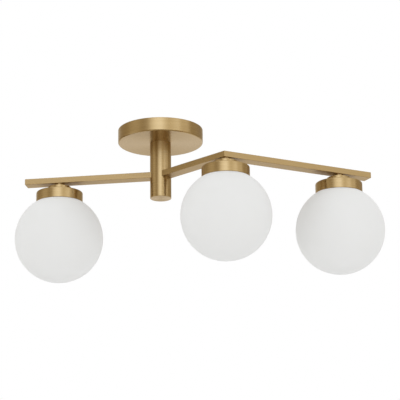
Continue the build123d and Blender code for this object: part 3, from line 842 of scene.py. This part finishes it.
# ---------------------------------------------------------------- Boss and cup over each globe
# The boss is turned from brass bar, the cup spun from sheet, and both are brushed round and
# lacquered. A thread is rolled into the cup's wall from outside to inside, for the globe's neck.
BOSS_RADIUS = 15.95
BOSS_EDGE = 0.7
CUP_RADIUS = 31.8
CUP_INSIDE = 30.6
CUP_CEILING = -82.2
CUP_RIM = -95.3
CUP_EDGE = 1.5
CUP_RIM_EDGE = 0.35
CUP_STEP = 0.28
CUP_RIDGE = 0.28
CUP_THREAD = (CUP_RIM + 1.0, CUP_CEILING - 2.5)
GLOBE_PITCH = 3.4
RIDGE_WIDTH = 0.42
RIDGE_RUN_OUT = 1.2


def rolled_thread(wall, rise, low, high, start=0.0):
    """Relief of one wall with a rounded thread ridge that runs out at both ends of its turns."""
    def ridge(angle, radius, height):
        if abs(radius - wall) > TINY:
            return 0.0
        off = abs(((height - low) / GLOBE_PITCH - (angle + start) / TURN) % 1 - 0.5)
        swell = max(0.0, math.cos(off * math.pi / RIDGE_WIDTH)) if off < RIDGE_WIDTH / 2 else 0.0
        end = min(height - low, high - height) / RIDGE_RUN_OUT
        return rise * swell * min(1.0, max(0.0, end))
    return ridge


at_lamps("turned_boss_LAMP", turned(rounded([
    (NIPPLE_HOLE, CUP_TOP, 0.1), (BOSS_RADIUS, CUP_TOP, 0.15), (BOSS_RADIUS, BOSS_TOP, BOSS_EDGE),
    (NIPPLE_HOLE, BOSS_TOP, 0.1)], 6), 128), spun_brass, ["boss_LAMP"])
cup_corners = rounded([
    (NIPPLE_HOLE, CUP_CEILING, 0.1), (NIPPLE_HOLE, CUP_TOP, 0.1), (CUP_RADIUS, CUP_TOP, CUP_EDGE),
    (CUP_RADIUS, CUP_RIM, CUP_RIM_EDGE), (CUP_INSIDE, CUP_RIM, CUP_RIM_EDGE),
    (CUP_INSIDE, CUP_CEILING, 0.5)], 6)
cup_outline = []
for spot, after in zip(cup_corners, cup_corners[1:] + cup_corners[:1]):
    on_wall = all(abs(end[0] - CUP_INSIDE) < TINY for end in (spot, after))
    cup_outline += climb(CUP_INSIDE, spot[1], after[1], CUP_STEP)[:-1] if on_wall else [spot]
cup_thread = rolled_thread(CUP_INSIDE, -CUP_RIDGE, *CUP_THREAD, start=math.pi)
at_lamps("spun_cup_LAMP", turned(cup_outline, 128, cup_thread), spun_brass, ["cup_LAMP"])


# ---------------------------------------------------------------- Gasket
# Soft white silicone ring, moulded with rounded edges. It lies between the cup's ceiling and the
# globe's lip, so that glass never meets metal.
SILICONE = (0.71, 0.71, 0.70, 1)
SILICONE_SHADE = (0.64, 0.64, 0.62, 1)
GASKET_RADIUS = 30.1
GASKET_BORE = 26.5
GASKET_THICK = 2.0
silicone, silicone_tree, silicone_shader = new_finish(
    "gasket_silicone", "gasket_silicone", subsurface_weight=0.2, subsurface_scale=0.001,
    specular_ior_level=0.4)
patch, fine = uneven(silicone_tree, 90.0, 2500.0)
surfaced(silicone_tree, silicone_shader, (patch, SILICONE, SILICONE_SHADE), (fine, 0.5, 0.66))
at_lamps("gasket_ring_LAMP",
         washer(GASKET_RADIUS, GASKET_BORE, CUP_CEILING - GASKET_THICK, CUP_CEILING, 0.6),
         silicone, ["gasket_LAMP"])


# ---------------------------------------------------------------- Lampholder, strap and fixings
# A glazed ceramic holder hangs by two side screws in a bent steel strap, which the nipple's washer
# and nut clamp under the cup. Two slots in its underside take the lamp's pins.
CERAMIC = (0.74, 0.72, 0.67, 1)
CERAMIC_WARM = (0.69, 0.66, 0.60, 1)
HOLDER_RADIUS = 10.8
HOLDER_TOP = -88.2
HOLDER_LOW = -106.2
HOLDER_BORE = 2.8
HOLDER_BORE_DEPTH = 3.0
HOLDER_WAIST = (-11.0, -12.8)
HOLDER_WAIST_DEPTH = 0.4
HOLDER_LIP = 8.2
HOLDER_LIP_DEPTH = 0.5
PIN_X = 4.5
PIN_SLOT = (2.0, 0.7, HOLDER_LOW + 8.0)
LAMP_WASHER_TOP = -83.2
HOLDER_STRAP_EDGE = 0.15
HOLDER_SCREW_Z = -91.4
HOLDER_SCREW_X = 12.1
HOLDER_SCREW_RADIUS = 1.45
HOLDER_SCREW_HOLE = 1.5
HOLDER_HOLE_DEPTH = 3.0
HOLDER_SCREW_REACH = 4.0
HOLDER_SCREW_HEAD = {"radius": 2.6, "height": 1.6, "dome": 0.5, "slot": 0.6, "deep": 0.7}

washer_low = LAMP_WASHER_TOP - WASHER_THICK
at_lamps("lamp_washer_LAMP", washer(WASHER_RADIUS, NIPPLE_HOLE, washer_low, LAMP_WASHER_TOP), zinc,
         ["lamp_washers"])
at_lamps("lamp_nut_LAMP", hexagon_nut(washer_low - NUT_HEIGHT, washer_low), zinc, ["lamp_nuts"])
strap_form = moved(softened("holder_strap_left", HOLDER_STRAP_EDGE), LEFT_LAMP)
at_lamps("holder_bent_strap_LAMP", strap_form, zinc, ["holder_strap_LAMP"])

ceramic, ceramic_tree, ceramic_shader = new_finish(
    "glazed_ceramic", "white_ceramic", coat_weight=0.6, coat_roughness=0.08, ior=1.5)
patch, fine = uneven(ceramic_tree, 70.0, 900.0)
surfaced(ceramic_tree, ceramic_shader, (patch, CERAMIC, CERAMIC_WARM), (patch, 0.22, 0.34),
         (fine, 0.02))
waist_top, waist_low = (HOLDER_TOP + down for down in HOLDER_WAIST)
waist = HOLDER_RADIUS - HOLDER_WAIST_DEPTH
bore_end = (HOLDER_BORE, HOLDER_TOP - HOLDER_BORE_DEPTH)
holder_outline = rounded([
    (*bore_end, 0), (HOLDER_BORE, HOLDER_TOP, 0.3), (HOLDER_RADIUS, HOLDER_TOP, 0.6),
    (HOLDER_RADIUS, waist_top, 0.2), (waist, waist_top - HOLDER_WAIST_DEPTH, 0.2),
    (waist, waist_low + HOLDER_WAIST_DEPTH, 0.2), (HOLDER_RADIUS, waist_low, 0.2),
    (HOLDER_RADIUS, HOLDER_LOW, 0.6), (HOLDER_LIP, HOLDER_LOW, 0.3),
    (HOLDER_LIP, HOLDER_LOW + HOLDER_LIP_DEPTH, 0.2)])
holder_form = turned([(0, bore_end[1])] + holder_outline + [(0, HOLDER_LOW + HOLDER_LIP_DEPTH)], 96)
holder_tools = []
side_screws = []
for side in (-1, 1):
    x, (wide, thick, top) = side * PIN_X, PIN_SLOT
    holder_tools.append(cuboid(x - wide, x + wide, -thick, thick, HOLDER_LOW - 1, top))
    ends = on_side(side, (HOLDER_RADIUS - HOLDER_HOLE_DEPTH, HOLDER_RADIUS + 1))
    holder_tools.append(laid(plug(HOLDER_SCREW_HOLE, *ends, 24), HOLDER_SCREW_Z))
    head = moved(bolt_head(**HOLDER_SCREW_HEAD), turn=Matrix.Rotation(side * -TURN / 4, 4, "Y"))
    shank = threaded_rod(HOLDER_SCREW_RADIUS, SCREW_PITCH,
                         *on_side(side, (-HOLDER_SCREW_REACH, OVERLAP)))
    side_screws.append(moved(join(head, laid(shank)), side * HOLDER_SCREW_X, 0, HOLDER_SCREW_Z))
at_lamps("ceramic_holder_LAMP", cut(holder_form, *holder_tools), ceramic, ["lampholder_LAMP"])
at_lamps("holder_screws_LAMP", join(*side_screws), zinc, ["holder_screws"])


# ---------------------------------------------------------------- Lamp leads
# Two stranded wires to each lamp in braided glass sleeve, which stands the heat beside the
# lampholder. They run through the nipple and the arm, up the stem and into the terminal block.
SLEEVE = (0.62, 0.61, 0.58, 1)
# Colour of the gaps between the strands: painted shade in the weave's hollows.
SLEEVE_GAP_SHADE = (0.4, 0.39, 0.36, 1)
BRAID_TILT = 0.7
BRAID_TWIST = 0.8
BRAID_STRANDS = 320.0
sleeve, sleeve_tree, sleeve_shader = new_finish(
    "glass_braid", sheen_weight=0.15, specular_ior_level=0.3)
place = node(sleeve_tree, "ShaderNodeTexCoord").outputs["Object"]
strands = []
for tilt in (BRAID_TILT, -BRAID_TILT):
    tilted = node(sleeve_tree, "ShaderNodeMapping", {
        "Vector": place, "Rotation": (tilt, tilt, BRAID_TWIST + tilt)})
    strands.append(node(sleeve_tree, "ShaderNodeTexWave", {
        "Vector": tilted.outputs["Vector"], "Scale": BRAID_STRANDS, "Distortion": 0.6,
        "Detail": 1.0}).outputs["Fac"])
weave_and_gap_shade = maths(sleeve_tree, "MAXIMUM", *strands)
# The strands' mask paints shade into the gaps between them, and also gives the braid its roughness
# and relief.
surfaced(sleeve_tree, sleeve_shader, (weave_and_gap_shade, SLEEVE_GAP_SHADE, SLEEVE), (weave_and_gap_shade, 0.9, 0.7), (weave_and_gap_shade, 0.05))
for lamp in lamps:
    dressed(f"lamp_leads_{lamp}", sleeve)


# ---------------------------------------------------------------- Lamps
# Frosted capsule lamp with two flat pins, pushed up into its holder. The envelope is blown glass
# with a pinched seal above it; the pins are pressed wire, rounded at their tips.
FROST = (0.80, 0.80, 0.78, 1)
FROST_SHADE = (0.74, 0.74, 0.72, 1)
LAMP_TOP = -106.5
LAMP_LOW = -148.5
LAMP_RADIUS = 8.0
LAMP_ROUND = 6.4
LAMP_NECK = 7.2
LAMP_STEP = -118.5
LAMP_STEP_RISE = 0.8
DIMPLE_RADIUS = 1.2
DIMPLE_FLOOR = 0.9
DIMPLE_DEPTH = 0.35
PIN_HALF = (1.7, 0.4)
PIN_ENDS = (-0.5, 7.0)
PIN_TIP = 1.0
frost = grained_finish(
    "lamp_frost", "lamp_frost", (FROST, FROST_SHADE), rough=(0.42, 0.56), relief=0.008,
    patches=60.0, grain=3200.0, subsurface_weight=0.4, subsurface_scale=0.002, ior=1.5)
dimple = LAMP_LOW + DIMPLE_DEPTH
lamp_outline = [(0, LAMP_TOP)] + rounded([
    (0.01, LAMP_TOP, 0), (LAMP_NECK, LAMP_TOP, 0.8), (LAMP_NECK, LAMP_STEP + LAMP_STEP_RISE, 0.3),
    (LAMP_RADIUS, LAMP_STEP, 0.6), (LAMP_RADIUS, LAMP_LOW, LAMP_ROUND),
    (DIMPLE_RADIUS, LAMP_LOW, 0.4), (DIMPLE_FLOOR, dimple, 0.2), (0.01, dimple, 0)], 8)
at_lamps("frosted_capsule_LAMP", turned(lamp_outline + [(0, dimple)], 64), frost,
         ["lamp_LAMP"], "lamp_LAMP")
pins = []
for x in (-PIN_X, PIN_X):
    wide, thick = PIN_HALF
    pin = cuboid(x - wide, x + wide, -thick, thick, *(LAMP_TOP + end for end in PIN_ENDS))
    tips = [e for e in pin.edges if all(v.co.z > LAMP_TOP for v in e.verts)
            and abs(e.verts[0].co.x - e.verts[1].co.x) < PIN_TIP / 10]
    bmesh.ops.bevel(pin, geom=tips, offset=PIN_TIP, segments=4, profile=0.5, affect="EDGES")
    pins.append(pin)
at_lamps("lamp_pins_LAMP", join(*pins), tin, [], "lamp_LAMP")


# ---------------------------------------------------------------- Globes
# Opal glass, blown in a mould with a thread on its neck, then etched so that the outside is matt.
# The neck screws up into the cup, and the sphere stops just under the cup's rim.
OPAL = (0.785, 0.785, 0.775, 1)
OPAL_SHADE = (0.775, 0.775, 0.76, 1)
GLOBE_RADIUS = 60.0
GLOBE_WALL = 2.5
GLOBE_CENTRE = -146.48
NECK_RADIUS = 30.1
NECK_ROOT = 29.45
NECK_TOP = -84.5
NECK_STEP = 0.26
LIP_ROUND = 0.9
SHOULDER = -95.6
SHOULDER_OUT = 0.2
SHOULDER_IN = 0.6
NECK_THREAD = (SHOULDER + 1.6, NECK_TOP - 1.0)
THROAT_OUT = 1.2
THROAT_ROUND = 2.0
opal = grained_finish(
    "etched_opal", "opal_glass", (OPAL, OPAL_SHADE), rough=(0.68, 0.78), relief=0.004,
    patches=18.0, grain=2800.0, subsurface_weight=0.35, subsurface_scale=0.004,
    subsurface_radius=(1, 1, 1), ior=1.5, specular_ior_level=0.45)


def sphere_points(radius, first, last, count):
    """Points down a sphere's outline between two angles from its top, in degrees."""
    return [(radius * math.sin(a), GLOBE_CENTRE + radius * math.cos(a))
            for a in (math.radians(first + (last - first) * i / count) for i in range(count + 1))]


inner_radius = GLOBE_RADIUS - GLOBE_WALL
neck_inside = NECK_ROOT - GLOBE_WALL
shoulder_angle = math.degrees(math.asin((CUP_RADIUS + SHOULDER_OUT) / GLOBE_RADIUS))
inner_angle = math.degrees(math.asin((neck_inside + THROAT_OUT) / inner_radius))
outside = sphere_points(GLOBE_RADIUS, 180.0, shoulder_angle, 72)
outside[0] = (0, outside[0][1])
shoulder_arc = rounded([(*outside[-1], 0), (CUP_RADIUS - SHOULDER_IN, SHOULDER, 0.5),
                        (NECK_ROOT, SHOULDER, 0.6), (NECK_ROOT, NECK_TOP, 0)], 5)[1:-1]
neck_wall = climb(NECK_ROOT, shoulder_arc[-1][1], NECK_TOP - LIP_ROUND, NECK_STEP)[1:-1]
lip = rounded([(NECK_ROOT, NECK_TOP - 1.0, 0), (NECK_ROOT, NECK_TOP, LIP_ROUND),
               (neck_inside, NECK_TOP, LIP_ROUND), (neck_inside, NECK_TOP - 1.0, 0)], 6)[1:-1]
inside = sphere_points(inner_radius, inner_angle, 180.0, 60)
inside[-1] = (0, inside[-1][1])
throat = rounded([(neck_inside, NECK_TOP - 3, 0),
                  (neck_inside, inside[0][1] + THROAT_OUT, THROAT_ROUND), (*inside[0], 0)], 5)[1:-1]
neck_thread = rolled_thread(NECK_ROOT, NECK_RADIUS - NECK_ROOT, *NECK_THREAD)
globe_form = turned(outside + shoulder_arc + neck_wall + lip + throat + inside, 160, neck_thread)
at_lamps("opal_globe_LAMP", globe_form, opal, ["globe_LAMP"], "globe_LAMP")


# ---------------------------------------------------------------- Studio
# Pale floor well below the light and two round soft lamps near the camera, one above and one below
# it, in a plain room whose broad panels the brass reflects. The camera looks up at the light from
# in front and below. Lengths here are in metres.
FLOOR_Z = -2.6
FLOOR_RADIUS = 7.0
FLOOR_THICK = 0.04
FLOOR_FADE = (4.0, 7.3)
FLOOR_PALE = (0.92, 0.92, 0.92, 1)
FLOOR_SHADE = (0.905, 0.905, 0.905, 1)
WHITE = (1, 1, 1, 1)
LAMPS_FACE = (0, 0, -0.1)
CAMERA_PLACE = (0.3940, -2.2037, -0.7600)
CAMERA_HEADING = math.radians(8.774)
CAMERA_PITCH = math.radians(16.44)
CAMERA_ROLL = math.radians(-0.66)
CAMERA_LENS = 154.71
PLAIN_LEVEL = 1.0
BRIGHTEST = 4.0
COOLER = (1.0, 1.2, 1.63)
# How bright the room is as the brass reflects it: rows by height above the horizon, and in each
# row levels by degrees to the right of the camera's side. Bright panels are cooler than dark walls.
ROOM = [
    (-80, [(0, 0.5)]),
    (-45, [(-150, 1.15), (-70, 0.4), (-20, 0.3), (30, 0.3), (70, 0.4), (120, 0.85)]),
    (-16, [(-165, 0.8), (-125, 0.2), (-85, 1.0), (-45, 0.5), (0, 1.4), (45, 1.0), (80, 0.6),
           (115, 0.2), (155, 1.1)]),
    (16, [(-165, 0.65), (-130, 0.48), (-100, 0.5), (-72, 0.85), (-60, 0.75), (-48, 0.45),
          (-34, 0.48), (-22, 1.3), (-8, 1.75), (4, 1.85), (14, 1.3), (24, 0.9), (36, 1.2),
          (50, 1.5), (62, 1.0), (80, 1.1), (92, 0.5), (115, 0.55), (140, 0.35)]),
    (45, [(-150, 0.4), (-75, 0.3), (-15, 1.75), (45, 1.25), (120, 0.7)]),
    (80, [(0, 0.95)])]

floor_form = plug(FLOOR_RADIUS, FLOOR_Z, FLOOR_Z - FLOOR_THICK, 96)
floor = placed("floor", to_mesh("floor", floor_form))
floor_paint, floor_tree, floor_shader = new_finish(
    "floor_paint", roughness=0.8, specular_ior_level=0.2)
patch, fine = uneven(floor_tree, 1.5, 400.0)
floor_place = node(floor_tree, "ShaderNodeTexCoord").outputs["Object"]
away = node(floor_tree, "ShaderNodeVectorMath", {0: floor_place}, operation="LENGTH")
to_rim = ranged(floor_tree, away.outputs["Value"], source=FLOOR_FADE)
floor_paler = mixed(floor_tree, to_rim, mixed(floor_tree, patch, FLOOR_PALE, FLOOR_SHADE), WHITE)
floor_tree.links.new(floor_paler, floor_shader.inputs["Base Color"])
floor.data.materials.append(floor_paint[0])
floor.visible_glossy = False

world = bpy.data.worlds.new("studio")
bpy.context.scene.world = world
world.use_nodes = True
room = world.node_tree
room.nodes.clear()
seen = node(room, "ShaderNodeTexCoord").outputs["Generated"]
faced = node(room, "ShaderNodeVectorRotate", {"Vector": seen, "Angle": -CAMERA_HEADING},
             rotation_type="Z_AXIS")
way = node(room, "ShaderNodeSeparateXYZ", {"Vector": faced.outputs["Vector"]}).outputs
azimuth = maths(room, "ARCTAN2", way["X"], maths(room, "MULTIPLY", way["Y"], -1.0))
share = ranged(room, azimuth, source=(-math.pi, math.pi))
height = maths(room, "ARCSINE", way["Z"])


def panels(levels):
    """Ring of room levels, closed across the side away from the camera."""
    ring = node(room, "ShaderNodeValToRGB", {"Fac": share})
    gap = 360 + levels[0][0] - levels[-1][0]
    back = levels[-1][1] + (levels[0][1] - levels[-1][1]) * (180 - levels[-1][0]) / gap
    stops = ring.color_ramp.elements
    for degrees, level in [(-180, back), *levels, (180, back)]:
        edge = {-180: stops[0], 180: stops[-1]}
        stop = edge.get(degrees) or stops.new((degrees + 180) / 360)
        stop.color = [level ** power / BRIGHTEST for power in COOLER] + [1]
    return ring.outputs["Color"]


low_row, reflected = ROOM[0][0], panels(ROOM[0][1])
for row, levels in ROOM[1:]:
    rise = ranged(room, height, source=(math.radians(low_row), math.radians(row)))
    low_row, reflected = row, mixed(room, rise, reflected, panels(levels))
path = node(room, "ShaderNodeLightPath").outputs
mirror = maths(room, "MAXIMUM", path["Is Glossy Ray"], path["Is Transmission Ray"])
plain, shiny, white = (
    node(room, "ShaderNodeBackground", {"Color": colour, "Strength": level}).outputs[0]
    for colour, level in ((WHITE, PLAIN_LEVEL), (reflected, BRIGHTEST), (WHITE, 1.0)))
lit = node(room, "ShaderNodeMixShader", {0: mirror, 1: plain, 2: shiny}).outputs[0]
shown = node(room, "ShaderNodeMixShader", {0: path["Is Camera Ray"], 1: lit, 2: white}).outputs[0]
node(room, "ShaderNodeOutputWorld", {"Surface": shown})


def soft_lamp(name, place, size, power):
    """Round soft lamp that faces the light."""
    light = bpy.data.lights.new(name, "AREA")
    light.shape = "DISK"
    light.size = size
    light.energy = power
    lamp = placed(name, light)
    lamp.location = place
    lamp.rotation_euler = (Vector(LAMPS_FACE) - lamp.location).to_track_quat("-Z", "Y").to_euler()
    lamp.visible_glossy = False
    lamp.visible_camera = False


soft_lamp("upper_lamp", (-0.4, -2.6, 1.2), size=1.4, power=1.0)
soft_lamp("lower_lamp", (0.6, -2.1, -1.3), size=1.6, power=4.0)

camera_data = bpy.data.cameras.new("camera")
camera_data.sensor_width = 36.0
camera_data.lens = CAMERA_LENS
camera_data.clip_end = 50.0
camera = placed("camera", camera_data)
level_right = Vector((math.cos(CAMERA_HEADING), math.sin(CAMERA_HEADING), 0))
look = Vector((-math.sin(CAMERA_HEADING) * math.cos(CAMERA_PITCH),
               math.cos(CAMERA_HEADING) * math.cos(CAMERA_PITCH), math.sin(CAMERA_PITCH)))
level_up = level_right.cross(look)
right = level_right * math.cos(CAMERA_ROLL) + level_up * math.sin(CAMERA_ROLL)
turn = Matrix((right, right.cross(look), -look)).transposed().to_4x4()
camera.matrix_world = Matrix.Translation(CAMERA_PLACE) @ turn
bpy.context.scene.camera = camera
bpy.context.scene.view_settings.view_transform = "Standard"
